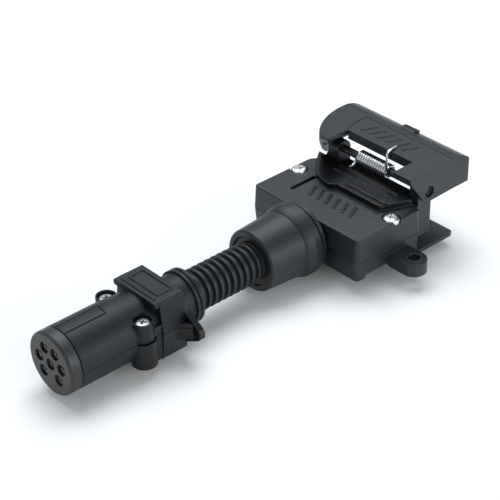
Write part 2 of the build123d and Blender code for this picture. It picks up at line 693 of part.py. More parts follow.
with BuildPart() as socket_cover:
    spout()
    split(bisect_by=socket_seam_plane, keep=Keep.TOP)
    extrude(socket_outline(socket_seam_plane, 5.0), amount=cover_top - seam_z, taper=3)
    top_face = socket_cover.faces().filter_by(Plane.XY).sort_by(Axis.Z)[-1]
    fillet(top_face.edges(), 0.6)
    # raised platform under the lid's lever, with a rib along its front
    with BuildSketch(Plane.XY.offset(axis_z + cover_top - 0.5)) as platform:
        with BuildLine():
            Spline(
                (socket_rear_x - 0.3, 24.2),
                (socket_x + 27.2, 21.4),
                (socket_x + 21.6, 16.4),
                (socket_x + 18.4, 10.9),
                (socket_x + 17.7, 7.6),
            )
            RadiusArc((socket_x + 17.7, 7.6), (socket_x + 19.4, 3.6), -3.2)
            Line((socket_x + 19.4, 3.6), (socket_x + 19.4, -16.6))
            Line((socket_x + 19.4, -16.6), (socket_x + 24.6, -19.4))
            Line((socket_x + 24.6, -19.4), (socket_rear_x - 0.3, -21.8))
            Line((socket_rear_x - 0.3, -21.8), (socket_rear_x - 0.3, 24.2))
        make_face()
    extrude(platform.sketch, amount=platform_top - cover_top + 0.5)
    with BuildSketch(Plane.XY.offset(axis_z + platform_top - 0.1)) as rib:
        with Locations((socket_x + 22.1, -8.2)):
            SlotOverall(20.0, 1.6, rotation=90)
    extrude(rib.sketch, amount=0.7)
    for rib_place in (26.0, 29.0):
        rib_x0 = socket_x + rib_place
        slab(rib_x0, rib_x0 + 0.9, -17, 12, platform_top - 0.1, platform_top + 0.35)
    # groove and a row of plain slanted grip bars
    slab(socket_x + 8, socket_x + 20.2, 13.9, 15.6, cover_top - 1.2, cover_top + 1, Mode.SUBTRACT)
    for number in range(6):
        with BuildSketch(Plane.XY.offset(axis_z + cover_top - 0.1)) as grip_bar:
            with Locations(Location((socket_x + 12.6, 8.6 - 4.0 * number), 65)):
                SlotOverall(6.6, 1.1, rotation=-40)
        extrude(grip_bar.sketch, amount=0.45)
    terminal_chamber(-1, 6.6)
    slab(socket_flange_x1, socket_carrier_x1 + 0.1, -19.8, 19.8, -1, mouth_high, Mode.SUBTRACT)
    mouth_opening(socket_carrier_x1, socket_rear_x + 1)
    disc(spout_x - 1, socket_x + 3, 6.2, Mode.SUBTRACT)
    disc(spout_x + 3.55, spout_x + 5.25, 7.05, Mode.SUBTRACT)
    for side in (-1, 1):
        post(screw_x, side * screw_y, cover_top - 1.3, cover_top + 3, 3.3, Mode.SUBTRACT)
        post(screw_x, side * screw_y, -2, cover_top, 1.55, Mode.SUBTRACT)
    seam_groove()
socket_cover.part.label = "socket_cover"
export_step(socket_cover.part, "parts/socket_cover.step")

with BuildPart() as socket_cover_screws:
    for side in (-1, 1):
        cross_screw(screw_x, side * screw_y, cover_top - 1.3, 12.0, 1.3, 2.95, 1.8)
socket_cover_screws.part.label = "socket_cover_screws"
export_step(socket_cover_screws.part, "parts/socket_cover_screws.step")

with BuildPart() as socket_contact_carrier:
    slab(socket_flange_x0, socket_carrier_x1, -19.7, 19.7, mouth_low + 0.1, mouth_high - 0.1)
    slab(socket_flange_x0, socket_flange_x1, -22.6, 22.6, -4.9, 6.4)
    rim_edges = socket_contact_carrier.faces().sort_by(Axis.X)[-1].outer_wire().edges()
    chamfer(rim_edges, 0.5)
    for y in contact_ys:
        disc(
            socket_flange_x0 - 1,
            socket_carrier_x1 + 1,
            socket_contact_radius + 0.02,
            Mode.SUBTRACT,
            y,
            contact_z,
        )
socket_contact_carrier.part.label = "socket_contact_carrier"
export_step(socket_contact_carrier.part, "parts/socket_contact_carrier.step")

terminal_x = socket_sleeve_x0 + 1.5

with BuildPart() as socket_contacts:
    for y in contact_ys:
        disc(socket_sleeve_x0, socket_sleeve_x1, socket_contact_radius, Mode.ADD, y, contact_z)
        disc(socket_sleeve_x0 + 5.5, socket_sleeve_x1 + 1, 1.3, Mode.SUBTRACT, y, contact_z)
        disc(socket_sleeve_x0 - 1, socket_sleeve_x0 + 4.6, core_radius + 0.05, Mode.SUBTRACT, y, contact_z)
        post(terminal_x, y, contact_z, contact_z + 3, grub_radius + 0.02, Mode.SUBTRACT)
socket_contacts.part.label = "socket_contacts"
export_step(socket_contacts.part, "parts/socket_contacts.step")

with BuildPart() as socket_terminal_screws:
    for y in contact_ys:
        grub_screw(terminal_x, y, contact_z, (0, 0, 1), core_radius + 0.05, 4.6, grub_radius)
socket_terminal_screws.part.label = "socket_terminal_screws"
export_step(socket_terminal_screws.part, "parts/socket_terminal_screws.step")

# ================================================================ lid
corner_x = socket_x + 46.0  # where the lid's long left corner meets its left side
shoulder_x = socket_x + 48.3  # where the lid's top starts to round over
cheek_low = 10.1
knuckle_radius = 3.9
corner_start_y = 18.5
corner_reach = corner_x - lid_near_x
corner_drop = lid_left_y - corner_start_y
corner_radius = (corner_reach**2 + corner_drop**2) / (2 * corner_drop)


def lid_plan(inset, near_x):
    """The lid seen from above, one near corner swept back in a long arc."""
    with BuildSketch(Plane.XY) as plan:
        with BuildLine():
            reach = corner_x - near_x
            radius = corner_radius - inset
            left_y = lid_left_y - inset
            start_y = left_y - radius + sqrt(radius**2 - reach**2)
            Line((near_x, lid_right_y + inset), (near_x, start_y))
            RadiusArc((near_x, start_y), (corner_x, left_y), radius)
            far = lid_far_x - inset
            bend = 5.0 - inset
            Line((corner_x, left_y), (far - bend, left_y))
            RadiusArc((far - bend, left_y), (far, left_y - bend), bend)
            Line((far, left_y - bend), (far, lid_right_y + inset))
            Line((far, lid_right_y + inset), (near_x, lid_right_y + inset))
        make_face()
        fillet(plan.vertices().group_by(Axis.Y)[0].sort_by(Axis.X)[-1], 1.0)
    return plan.sketch


def lid_shoulder(inset):
    """Top line and rounded far shoulder, from the near edge to the foot of the far wall."""
    top, far = lid_top - inset, lid_far_x - inset
    start_x = shoulder_x - inset * 0.3
    foot_z = axis_z + 17.8 - inset * 0.5
    Line((lid_near_x + (0 if inset == 0 else 1.7), top), (start_x, top))
    Spline((start_x, top), (far, foot_z), tangents=((1, -0.22), (0.1, -1)), tangent_scalars=(1, 1))
    return far, foot_z


# The near lower edge runs from the lever's tip down to the knuckle, which it meets tangentially.
lever_tip = (lid_near_x, axis_z + 20.9)
to_tip = (lever_tip[0] - hinge_x, lever_tip[1] - hinge_z)
tip_distance = hypot(*to_tip)
tangent_angle = atan2(to_tip[1], to_tip[0]) + acos(knuckle_radius / tip_distance)
knuckle_tangent = (
    hinge_x + knuckle_radius * cos(tangent_angle),
    hinge_z + knuckle_radius * sin(tangent_angle),
)

with BuildPart() as lid_hollow:
    with BuildSketch(Plane.XZ.offset(-40)):
        with BuildLine():
            far, foot_z = lid_shoulder(lid_wall)
            Line((far, foot_z), (far, axis_z - 10))
            Line((far, axis_z - 10), (lid_near_x + 1.7, axis_z - 10))
            Line((lid_near_x + 1.7, axis_z - 10), (lid_near_x + 1.7, lid_top - lid_wall))
        make_face()
    extrude(amount=80)
    extrude(lid_plan(lid_wall, lid_near_x + 1.0), amount=60, mode=Mode.INTERSECT)

with BuildPart() as lid:
    with BuildSketch(Plane.XZ.offset(-40)) as side:
        with BuildLine():
            far, foot_z = lid_shoulder(0)
            Line((far, foot_z), (far, axis_z + cheek_low))
            Line((far, axis_z + cheek_low), (socket_x + 46.5, axis_z + cheek_low))
            Line((socket_x + 46.5, axis_z + cheek_low), (hinge_x + 0.6, hinge_z - knuckle_radius + 0.05))
            Line((hinge_x + 0.6, hinge_z - knuckle_radius + 0.05), knuckle_tangent)
            Line(knuckle_tangent, lever_tip)
            Line(lever_tip, (lid_near_x, lid_top))
        make_face()
        with Locations((hinge_x, hinge_z)):
            Circle(knuckle_radius)
    extrude(amount=80)
    extrude(lid_plan(0, lid_near_x), amount=60, mode=Mode.INTERSECT)
    # main panel, a step lower than the left end
    with BuildSketch(Plane.XY.offset(lid_top - 0.25)) as panel:
        with BuildLine():
            Line((lid_near_x - 1, -30), (lid_near_x - 1, 14.0))
            Line((lid_near_x - 1, 14.0), (socket_x + 35.0, 14.0))
            RadiusArc((socket_x + 35.0, 14.0), (shoulder_x - 1.5, 15.6), 20)
            Line((shoulder_x - 1.5, 15.6), (shoulder_x - 1.5, -30))
            Line((shoulder_x - 1.5, -30), (lid_near_x - 1, -30))
        make_face()
    extrude(panel.sketch, amount=1, mode=Mode.SUBTRACT)
    add(lid_hollow.part, mode=Mode.SUBTRACT)
    # spring cut-out, open to the near edge
    spring_gap_y0, spring_gap_y1 = -17.6, 13.6
    with BuildSketch(Plane.XY.offset(axis_z + 16)) as gap:
        with Locations((lid_near_x + 4.5, (spring_gap_y0 + spring_gap_y1) / 2)):
            Rectangle(10.4, spring_gap_y1 - spring_gap_y0)
    extrude(gap.sketch, amount=10, mode=Mode.SUBTRACT)
    slab(lid_near_x + 9.7, lid_near_x + 10.9, spring_gap_y0, spring_gap_y1, 18.7, 20.9)
    # row of plain slanted grip bars and a small latch bump on the shoulder
    for number in range(6):
        with BuildSketch(Plane.XY.offset(lid_top - 0.35)) as lid_bar:
            with Locations(Location((socket_x + 41.4, 9.4 - 4.0 * number), -65)):
                SlotOverall(6.6, 1.1, rotation=40)
        extrude(lid_bar.sketch, amount=0.45)
    with BuildSketch(Plane.XZ.offset(-3)) as bump:
        with Locations((socket_x + 52.2, lid_top - 1.6)):
            Ellipse(2.4, 1.1)
    extrude(bump.sketch, amount=6)
    with BuildSketch(Plane.XZ.offset(40)) as pin_bore:
        with Locations((hinge_x, hinge_z)):
            Circle(pin_radius + 0.05)
    extrude(pin_bore.sketch, amount=-80, mode=Mode.SUBTRACT)
    with BuildSketch(Plane.XZ.offset(-lid_right_y + 1)) as pin_recess:
        with Locations((hinge_x, hinge_z)):
            Circle(2.2)
    extrude(pin_recess.sketch, amount=-2.1, mode=Mode.SUBTRACT)
lid.part.label = "lid"
export_step(lid.part, "parts/lid.step")

seal_x0, seal_x1 = hinge_x + 5.6, socket_x + 53.0
seal_y = 23.2
seal_bottom = 17.5
seal_width = 2.4

with BuildPart() as lid_seal:
    with BuildSketch(Plane.XY.offset(axis_z + seal_bottom)):
        with Locations(((seal_x0 + seal_x1) / 2, 0)):
            RectangleRounded(seal_x1 - seal_x0, 2 * seal_y, 2.0)
            RectangleRounded(
                seal_x1 - seal_x0 - 2 * seal_width, 2 * (seal_y - seal_width), 1.0, mode=Mode.SUBTRACT
            )
    extrude(amount=3.2)
    lip_edges = lid_seal.faces().sort_by(Axis.Z)[0].edges()
    fillet(lip_edges, 0.6)
    add(lid_hollow.part, mode=Mode.INTERSECT)
lid_seal.part.label = "lid_seal"
export_step(lid_seal.part, "parts/lid_seal.step")

pin_y0, pin_y1 = lid_right_y + 1.15, 24.4

with BuildPart() as hinge_pin:
    with BuildSketch(Plane.XZ.offset(-pin_y0)):
        with Locations((hinge_x, hinge_z)):
            Circle(pin_radius)
    extrude(amount=-(pin_y1 - pin_y0))
    chamfer(hinge_pin.edges().filter_by(GeomType.CIRCLE), 0.3)
hinge_pin.part.label = "hinge_pin"
export_step(hinge_pin.part, "parts/hinge_pin.step")

spring_wire = 0.45
coil_radius = 2.35
coil_turns = 14
coil_pitch = 1.08
coil_y0 = -7.4
coil_length = coil_turns * coil_pitch

with BuildPart() as lid_spring:
    with BuildLine() as coil:
        Helix(coil_pitch, coil_length, coil_radius, center=(hinge_x, coil_y0, hinge_z), direction=(0, 1, 0))
    with BuildSketch(Plane(origin=coil.line @ 0, z_dir=coil.line % 0)):
        Circle(spring_wire)
    sweep(path=coil.line, is_frenet=True)
    for points in (
        (
            (hinge_x - coil_radius, coil_y0, hinge_z - 0.6),
            (hinge_x - coil_radius + 0.2, coil_y0 - 0.1, lid_top + 0.35),
            (socket_x + 38.2, coil_y0 + 0.6, lid_top + 0.35),
        ),
        (
            (hinge_x - coil_radius, coil_y0 + coil_length, hinge_z + 0.6),
            (hinge_x - coil_radius - 0.3, coil_y0 + coil_length, axis_z + platform_top + 0.9),
            (hinge_x - coil_radius - 2.8, coil_y0 + coil_length, axis_z + platform_top + 0.9),
        ),
    ):
        with BuildLine() as leg:
            FilletPolyline(*points, radius=0.8)
        with BuildSketch(Plane(origin=leg.line @ 0, z_dir=leg.line % 0)):
            Circle(spring_wire)
        sweep(path=leg.line)
lid_spring.part.label = "lid_spring"
export_step(lid_spring.part, "parts/lid_spring.step")
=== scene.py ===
"""Looks for the trailer wiring adaptor: round plug, ribbed boot and flat socket with its lid open."""

from math import cos, pi, radians, sin

import bmesh
import bpy
from mathutils import Matrix, Vector


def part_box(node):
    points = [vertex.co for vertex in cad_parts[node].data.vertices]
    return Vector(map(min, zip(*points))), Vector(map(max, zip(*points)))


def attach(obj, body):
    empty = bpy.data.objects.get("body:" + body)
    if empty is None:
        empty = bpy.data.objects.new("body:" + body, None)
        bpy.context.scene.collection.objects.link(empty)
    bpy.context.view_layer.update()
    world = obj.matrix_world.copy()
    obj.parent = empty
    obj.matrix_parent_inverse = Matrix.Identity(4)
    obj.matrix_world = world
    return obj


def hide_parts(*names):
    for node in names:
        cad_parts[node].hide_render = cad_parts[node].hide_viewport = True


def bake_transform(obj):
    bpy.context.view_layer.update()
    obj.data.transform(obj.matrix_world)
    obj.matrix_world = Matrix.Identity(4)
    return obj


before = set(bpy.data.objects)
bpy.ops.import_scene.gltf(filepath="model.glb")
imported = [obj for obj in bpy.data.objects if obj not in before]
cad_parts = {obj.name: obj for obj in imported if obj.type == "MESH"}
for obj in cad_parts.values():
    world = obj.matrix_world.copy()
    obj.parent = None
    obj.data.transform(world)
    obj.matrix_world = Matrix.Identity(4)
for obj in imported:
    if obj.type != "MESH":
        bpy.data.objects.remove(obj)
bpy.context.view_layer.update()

MM = 0.001
AXIS_Z = 13.4  # height of the cable axis, mm


def metres(*values):
    return tuple(value * MM for value in values)


# ---------------------------------------------------------------- node trees
class Flow:
    """A value that runs through a node tree. Arithmetic on it adds Math nodes."""

    def __init__(self, graph, socket):
        self.graph = graph
        self.socket = socket

    def _math(self, operation, first, second=0.0):
        return self.graph.add("ShaderNodeMath", {"operation": operation}, {0: first, 1: second})

    def __add__(self, other):
        return self._math("ADD", self, other)

    def __radd__(self, other):
        return self._math("ADD", other, self)

    def __sub__(self, other):
        return self._math("SUBTRACT", self, other)

    def __rsub__(self, other):
        return self._math("SUBTRACT", other, self)

    def __mul__(self, other):
        return self._math("MULTIPLY", self, other)

    def __rmul__(self, other):
        return self._math("MULTIPLY", other, self)

    def absolute(self):
        return self._math("ABSOLUTE", self)

    def cosine(self):
        return self._math("COSINE", self)

    def sine(self):
        return self._math("SINE", self)


class Graph:
    """A node tree that is built one node at a time."""

    def __init__(self, tree):
        self.tree = tree

    def add(self, kind, settings=None, values=None, output=0):
        """One node: its settings first, then the values or links of its sockets."""
        node = self.tree.nodes.new(kind)
        for name, value in (settings or {}).items():
            setattr(node, name, value)
        for key, value in (values or {}).items():
            self.feed(node.inputs[key], value)
        return Flow(self, node.outputs[output]) if node.outputs else None

    def feed(self, socket, value):
        if isinstance(value, Flow):
            self.tree.links.new(value.socket, socket)
        else:
            socket.default_value = value


# ---------------------------------------------------------------- materials
def mixed(graph, factor, first, second):
    """A colour between two, by a factor from 0 to 1."""
    return graph.add(
        "ShaderNodeMix",
        {"data_type": "RGBA"},
        {"Factor": factor, 6: (*first, 1) if isinstance(first, tuple) else first, 7: (*second, 1)},
        output=2,
    )


def noise(graph, where, scale, detail=2.0, roughness=0.5):
    return graph.add(
        "ShaderNodeTexNoise",
        {},
        {"Vector": where, "Scale": scale, "Detail": detail, "Roughness": roughness},
    )


def band(graph, value, low, high):
    """0 below low, 1 above high."""
    return graph.add(
        "ShaderNodeMapRange",
        {"interpolation_type": "SMOOTHSTEP"},
        {"Value": value, "From Min": low, "From Max": high},
    )


def part_of(graph, where, axis):
    """One coordinate of a vector."""
    return graph.add("ShaderNodeSeparateXYZ", {}, {0: where}, output=axis)


def stretched(graph, where, scale):
    return graph.add("ShaderNodeVectorMath", {"operation": "MULTIPLY"}, {0: where, 1: scale})


def edge_round(graph, radius):
    """Normals that soften sharp moulded or turned edges, and a mask that is 1 at those edges."""
    soft = graph.add("ShaderNodeBevel", {"samples": 6}, {"Radius": radius})
    flat = graph.add("ShaderNodeNewGeometry", output=1)
    match = graph.add("ShaderNodeVectorMath", {"operation": "DOT_PRODUCT"}, {0: soft, 1: flat}, output=1)
    return soft, band(graph, 1 - match, 0.02, 0.2)


def finish(name, make):
    """A material whose shader inputs come from make(graph, object coordinates)."""
    material = bpy.data.materials.new(name)
    material.use_nodes = True
    material.node_tree.nodes.clear()
    graph = Graph(material.node_tree)
    where = graph.add("ShaderNodeTexCoord", output=3)
    shader = graph.add("ShaderNodeBsdfPrincipled", {}, make(graph, where))
    graph.add("ShaderNodeOutputMaterial", {}, {"Surface": shader})
    return material


def nowhere(graph, where):
    """The painted-shade mask of a moulding with no painted shade."""
    return 0.0


def moulded(base, worn, roughness, grain, grain_size, edge_radius, shade=nowhere, ior=1.45):
    """Spark-eroded moulded plastic or rubber: fine grain, flow marks, dust in broad patches, edges painted
    lighter (partly rubbed wear, partly a painted highlight).

    shade(graph, where) is 1 where painted shade darkens the plastic; there it is also made smoother.
    """

    def make(graph, where):
        soft, edge = edge_round(graph, edge_radius)
        fine = noise(graph, where, 1 / grain_size, 3.0, 0.6)
        pebble = graph.add(
            "ShaderNodeTexVoronoi",
            {"feature": "SMOOTH_F1"},
            {"Vector": where, "Scale": 0.6 / grain_size, "Smoothness": 0.6},
        )
        flow = noise(graph, stretched(graph, where, (60, 180, 180)), 1.0, 3.0, 0.55)
        patch = noise(graph, where, 70.0, 4.0, 0.6)
        dust = band(graph, patch, 0.5, 0.75)
        height = fine * 0.7 + pebble * 0.5
        lift = band(graph, fine, 0.35, 0.7)
        # painted shade: 1 where the moulding is coloured as if in shadow
        painted_shade = shade(graph, where)
        # edges painted lighter: partly rubbed wear, partly a painted highlight on the rounded edges
        tone = mixed(graph, flow * 0.35 + lift * 0.4 + edge * 0.35, base, worn)
        dusty = mixed(graph, dust * 0.12, tone, tuple(min(1, c * 1.6 + 0.01) for c in worn))
        return {
            # painted shade: the colour is mixed most of the way to near-black where the shade mask is 1
            "Base Color": mixed(graph, painted_shade * 0.85, dusty, (0.002, 0.0022, 0.0026)),
            "Roughness": roughness + flow * 0.08 + dust * 0.06 - edge * 0.1 - painted_shade * 0.16,
            "IOR": ior,
            "Normal": graph.add(
                "ShaderNodeBump",
                {},
                {"Strength": grain, "Distance": grain_size * 0.16, "Height": height, "Normal": soft},
            ),
        }

    return make


def plated(base, shade, roughness, streak, edge_radius=0.0001):
    """Bright metal: turned or drawn streaks, slight tarnish and small nicks."""

    def make(graph, where):
        soft, edge = edge_round(graph, edge_radius)
        lines = noise(graph, stretched(graph, where, streak), 1.0, 2.0, 0.7)
        cloud = noise(graph, where, 900.0, 3.0, 0.6)
        nick = band(graph, noise(graph, where, 4200.0, 1.0), 0.62, 0.74)
        tarnish = band(graph, cloud, 0.48, 0.78)
        return {
            "Base Color": mixed(graph, tarnish * 0.5 + nick * 0.3 - edge * 0.2, base, shade),
            "Metallic": 1.0,
            "Roughness": roughness + lines * 0.12 + tarnish * 0.12,
            "Normal": graph.add(
                "ShaderNodeBump",
                {},
                {"Strength": 0.35, "Distance": 0.00002, "Height": lines + nick * 0.4, "Normal": soft},
            ),
        }

    return make


def insulation(base, worn):
    """Extruded wire cover: soft gloss with faint lines along the wire and small scuffs."""

    def make(graph, where):
        drawn = noise(graph, stretched(graph, where, (90, 2600, 2600)), 1.0, 2.0, 0.6)
        scuff = band(graph, noise(graph, where, 850.0, 3.0, 0.65), 0.56, 0.72)
        return {
            "Base Color": mixed(graph, drawn * 0.3 + scuff * 0.3, base, worn),
            "Roughness": 0.3 + scuff * 0.18,
            "Normal": graph.add(
                "ShaderNodeBump", {}, {"Strength": 0.3, "Distance": 0.00002, "Height": drawn + scuff * 0.3}
            ),
        }

    return make


# Where the painted shade on the mouldings begins, in metres.
PLATFORM_Z = 0.0219
SHOULDER_X, SHOULDER_Z = 0.0742, 0.0305
WING_Y = 0.0122


def platform_shade_mask(graph, where):
    """The cover's raised platform, under the lid's lever, painted dark as the lid's shadow and dark
    reflection.
    """
    return band(graph, part_of(graph, where, "Z"), PLATFORM_Z, PLATFORM_Z + 0.0004)


def shoulder_shade_mask(graph, where):
    """The lid's far shoulder, past its row of round holes, painted dark as shade."""
    past = band(graph, part_of(graph, where, "X"), SHOULDER_X, SHOULDER_X + 0.0006)
    return past * band(graph, part_of(graph, where, "Z"), SHOULDER_Z, SHOULDER_Z + 0.0007)


def wing_shade_mask(graph, where):
    """The plug's finger wings and the web behind its saddle block, painted dark as the block's shadow."""
    return band(graph, part_of(graph, where, "Y").absolute(), WING_Y, WING_Y + 0.0006)


def case_finish(name, shade=nowhere):
    """The flat socket's moulded plastic, with its own painted shade."""
    return finish(name, moulded(CASE_BASE, CASE_WORN, 0.36, 1.0, CASE_GRAIN, CASE_EDGE, shade))


CASE_GRAIN = 0.0005
CASE_EDGE = 0.00042
CASE_BASE, CASE_WORN = (0.006, 0.0088, 0.0122), (0.022, 0.0285, 0.036)
PLUG_BASE, PLUG_WORN = (0.004, 0.0058, 0.008), (0.014, 0.018, 0.0235)
case_plastic = case_finish("case_plastic")
cover_plastic_painted_shade = case_finish("cover_plastic_painted_shade", platform_shade_mask)
lid_plastic_painted_shade = case_finish("lid_plastic_painted_shade", shoulder_shade_mask)
plug_plastic_painted_shade = finish(
    "plug_plastic_painted_shade", moulded(PLUG_BASE, PLUG_WORN, 0.42, 1.0, CASE_GRAIN, CASE_EDGE, wing_shade_mask, 1.36)
)
insulator_plastic = finish(
    "insulator_plastic", moulded((0.011, 0.011, 0.012), (0.026, 0.026, 0.028), 0.34, 0.3, 0.0002, 0.0002)
)
rubber = finish(
    "rubber", moulded((0.007, 0.0085, 0.0105), (0.02, 0.0235, 0.027), 0.42, 0.4, 0.00022, 0.00025)
)
soft_rubber = finish(
    "soft_rubber", moulded((0.03, 0.03, 0.031), (0.06, 0.06, 0.062), 0.6, 0.4, 0.00018, 0.0002)
)
sheath_pvc = finish("sheath_pvc", insulation((0.02, 0.02, 0.021), (0.05, 0.05, 0.052)))

# Marks left by making, as noise scales along X, Y and Z: few per metre along a mark, many across it.
UPRIGHT_MARKS = (2600, 2600, 400)
PIN_MARKS = (2600, 300, 2600)
WOUND_MARKS = (1800, 1800, 1800)
LENGTHWISE_MARKS = (300, 3000, 3000)
CUT_MARKS = (3000, 3000, 3000)
CORE_MARKS = (500, 5000, 5000)
dull_zinc = finish("dull_zinc", plated((0.42, 0.43, 0.44), (0.2, 0.2, 0.19), 0.34, UPRIGHT_MARKS))
zinc_steel = finish("zinc_steel", plated((0.83, 0.84, 0.85), (0.5, 0.5, 0.49), 0.2, UPRIGHT_MARKS))
pin_steel = finish("pin_steel", plated((0.09, 0.09, 0.095), (0.04, 0.038, 0.036), 0.4, PIN_MARKS))
spring_steel = finish("spring_steel", plated((0.86, 0.87, 0.88), (0.55, 0.54, 0.52), 0.16, WOUND_MARKS))
brass = finish("brass", plated((0.8, 0.62, 0.34), (0.42, 0.28, 0.13), 0.22, LENGTHWISE_MARKS))
bright_brass = finish("bright_brass", plated((0.86, 0.72, 0.48), (0.5, 0.36, 0.2), 0.2, CUT_MARKS))
nickel = finish("nickel", plated((0.93, 0.93, 0.9), (0.62, 0.6, 0.54), 0.12, LENGTHWISE_MARKS, 0.0002))
copper = finish("copper", plated((0.85, 0.48, 0.3), (0.4, 0.18, 0.1), 0.25, CORE_MARKS))

WIRE_COLOURS = {
    "white": ((0.72, 0.72, 0.69), (0.55, 0.55, 0.5)),
    "yellow": ((0.78, 0.56, 0.03), (0.6, 0.42, 0.05)),
    "black": ((0.012, 0.012, 0.013), (0.04, 0.04, 0.042)),
    "green": ((0.02, 0.22, 0.05), (0.05, 0.3, 0.1)),
    "blue": ((0.015, 0.05, 0.32), (0.05, 0.1, 0.4)),
    "red": ((0.5, 0.015, 0.015), (0.55, 0.07, 0.05)),
    "brown": ((0.12, 0.045, 0.015), (0.18, 0.08, 0.04)),
}
wire_finish = {}
for colour, tones in WIRE_COLOURS.items():
    wire_finish[colour] = finish(f"wire_{colour}", insulation(*tones))

NODE_FINISH = {
    case_plastic: ["socket_body"],
    cover_plastic_painted_shade: ["socket_cover"],
    lid_plastic_painted_shade: ["lid"],
    plug_plastic_painted_shade: ["plug_upper_shell", "plug_lower_shell"],
    insulator_plastic: ["socket_contact_carrier", "plug_contact_carrier", "plug_cable_clamp"],
    rubber: ["boot_collar"],
    soft_rubber: ["cable_grommet", "lid_seal"],
    nickel: ["plug_contact_sleeves"],
    brass: ["socket_contacts"],
    bright_brass: ["plug_terminal_screws", "socket_terminal_screws", "plug_case_nuts"],
    zinc_steel: ["plug_clamp_screws"],
    pin_steel: ["hinge_pin"],
}


def wear(piece, *finishes):
    """Gives a piece its materials, in slot order."""
    piece.data.materials.clear()
    for finish_made in finishes:
        piece.data.materials.append(finish_made)


for node_finish, names in NODE_FINISH.items():
    for node_name in names:
        wear(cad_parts[node_name], node_finish)


# ---------------------------------------------------------------- mesh helpers
def piece_from(name, mesh):
    piece = bpy.data.objects.new(name, mesh)
    bpy.context.scene.collection.objects.link(piece)
    return piece


def from_bmesh(name, shape, smooth_angle=35):
    """An object from a bmesh, its doubles merged, its faces turned outwards and its sharp edges kept."""
    bmesh.ops.remove_doubles(shape, verts=shape.verts, dist=1e-7)
    bmesh.ops.recalc_face_normals(shape, faces=shape.faces)
    for edge in shape.edges:
        if len(edge.link_faces) == 2:
            edge.smooth = edge.calc_face_angle() < radians(smooth_angle)
    for face in shape.faces:
        face.smooth = True
    mesh = bpy.data.meshes.new(name)
    shape.to_mesh(mesh)
    shape.free()
    return piece_from(name, mesh)


SEGMENTS = 72


def lathe(shape, points, y=0.0, z=AXIS_Z, segments=SEGMENTS, closed=False):
    """Turns (x, radius) points in mm about an axis along X."""
    rings = []
    for x, radius in points:
        if radius == 0:
            rings.append([shape.verts.new(metres(x, y, z))])
            continue
        turns = [2 * pi * step / segments for step in range(segments)]
        rings.append([shape.verts.new(metres(x, y + radius * cos(t), z + radius * sin(t))) for t in turns])
    pairs = list(zip(rings, rings[1:]))
    if closed:
        pairs.append((rings[-1], rings[0]))
    for near, far in pairs:
        for step in range(segments):
            ahead = (step + 1) % segments
            if len(near) == 1:
                shape.faces.new((near[0], far[ahead], far[step]))
            elif len(far) == 1:
                shape.faces.new((near[step], near[ahead], far[0]))
            else:
                shape.faces.new((near[step], near[ahead], far[ahead], far[step]))


# ---------------------------------------------------------------- geometry trees
def geometry_tree(name, sizes):
    """A geometry tree with named inputs but no nodes yet; returns its graph and its inputs."""
    tree = bpy.data.node_groups.new(name, "GeometryNodeTree")
    tree.interface.new_socket("Geometry", in_out="INPUT", socket_type="NodeSocketGeometry")
    for size, kind in sizes.items():
        tree.interface.new_socket(size, in_out="INPUT", socket_type=f"NodeSocket{kind}")
    tree.interface.new_socket("Geometry", in_out="OUTPUT", socket_type="NodeSocketGeometry")
    graph = Graph(tree)
    source = tree.nodes.new("NodeGroupInput")
    inputs = {size: Flow(graph, source.outputs[size]) for size in ("Geometry", *sizes)}
    return graph, inputs


def end_tree(graph, shape, material_input):
    """Ends a tree in Realize Instances and Set Material."""
    whole = graph.add("GeometryNodeRealizeInstances", {}, {"Geometry": shape})
    painted = graph.add("GeometryNodeSetMaterial", {}, {"Geometry": whole, "Material": material_input})
    graph.add("NodeGroupOutput", {}, {"Geometry": painted})


def grown(seed, tree, values):
    """Runs a geometry tree on an object and returns the result as a plain mesh; the object is removed."""
    modifier = seed.modifiers.new("tree", "NODES")
    modifier.node_group = tree
    for item in tree.interface.items_tree:
        if item.name in values:
            modifier[item.identifier] = values[item.name]
    bpy.context.view_layer.update()
    depsgraph = bpy.context.evaluated_depsgraph_get()
    mesh = bpy.data.meshes.new_from_object(seed.evaluated_get(depsgraph))
    seed.modifiers.clear()
    bpy.data.objects.remove(seed)
    return mesh


def vector_of(graph, x, y, z):
    return graph.add("ShaderNodeCombineXYZ", {}, {"X": x, "Y": y, "Z": z})


def ribbed_sleeve():
    """One period of the boot's ribs, wrapped round the cable axis and repeated along it."""
    graph, size = geometry_tree(
        "ribbed_sleeve",
        {
            "Start": "Float",
            "Pitch": "Float",
            "Count": "Int",
            "Trough radius": "Float",
            "Crest radius": "Float",
            "Axis height": "Float",
            "Material": "Material",
        },
    )
    sheet = graph.add(
        "GeometryNodeMeshGrid",
        {},
        {"Size X": 1.0, "Size Y": 1.0, "Vertices X": 23, "Vertices Y": SEGMENTS + 1},
    )
    place = graph.add("GeometryNodeInputPosition")
    along = part_of(graph, place, "X") + 0.5
    turn = (part_of(graph, place, "Y") + 0.5) * (2 * pi)
    rise = band(graph, along, 0.02, 0.2)
    fall = band(graph, along, 0.46, 0.64)
    height = (size["Crest radius"] - size["Trough radius"]) * (rise - fall)
    radius = size["Trough radius"] + height
    wrapped = vector_of(
        graph,
        along * size["Pitch"],
        radius * turn.cosine(),
        radius * turn.sine(),
    )
    period = graph.add("GeometryNodeSetPosition", {}, {"Geometry": sheet, "Position": wrapped})
    line = graph.add(
        "GeometryNodeMeshLine",
        {},
        {
            "Count": size["Count"],
            "Start Location": vector_of(graph, size["Start"], 0.0, size["Axis height"]),
            "Offset": vector_of(graph, size["Pitch"], 0.0, 0.0),
        },
    )
    ribs = graph.add("GeometryNodeInstanceOnPoints", {}, {"Points": line, "Instance": period})
    end_tree(graph, ribs, size["Material"])
    return graph.tree


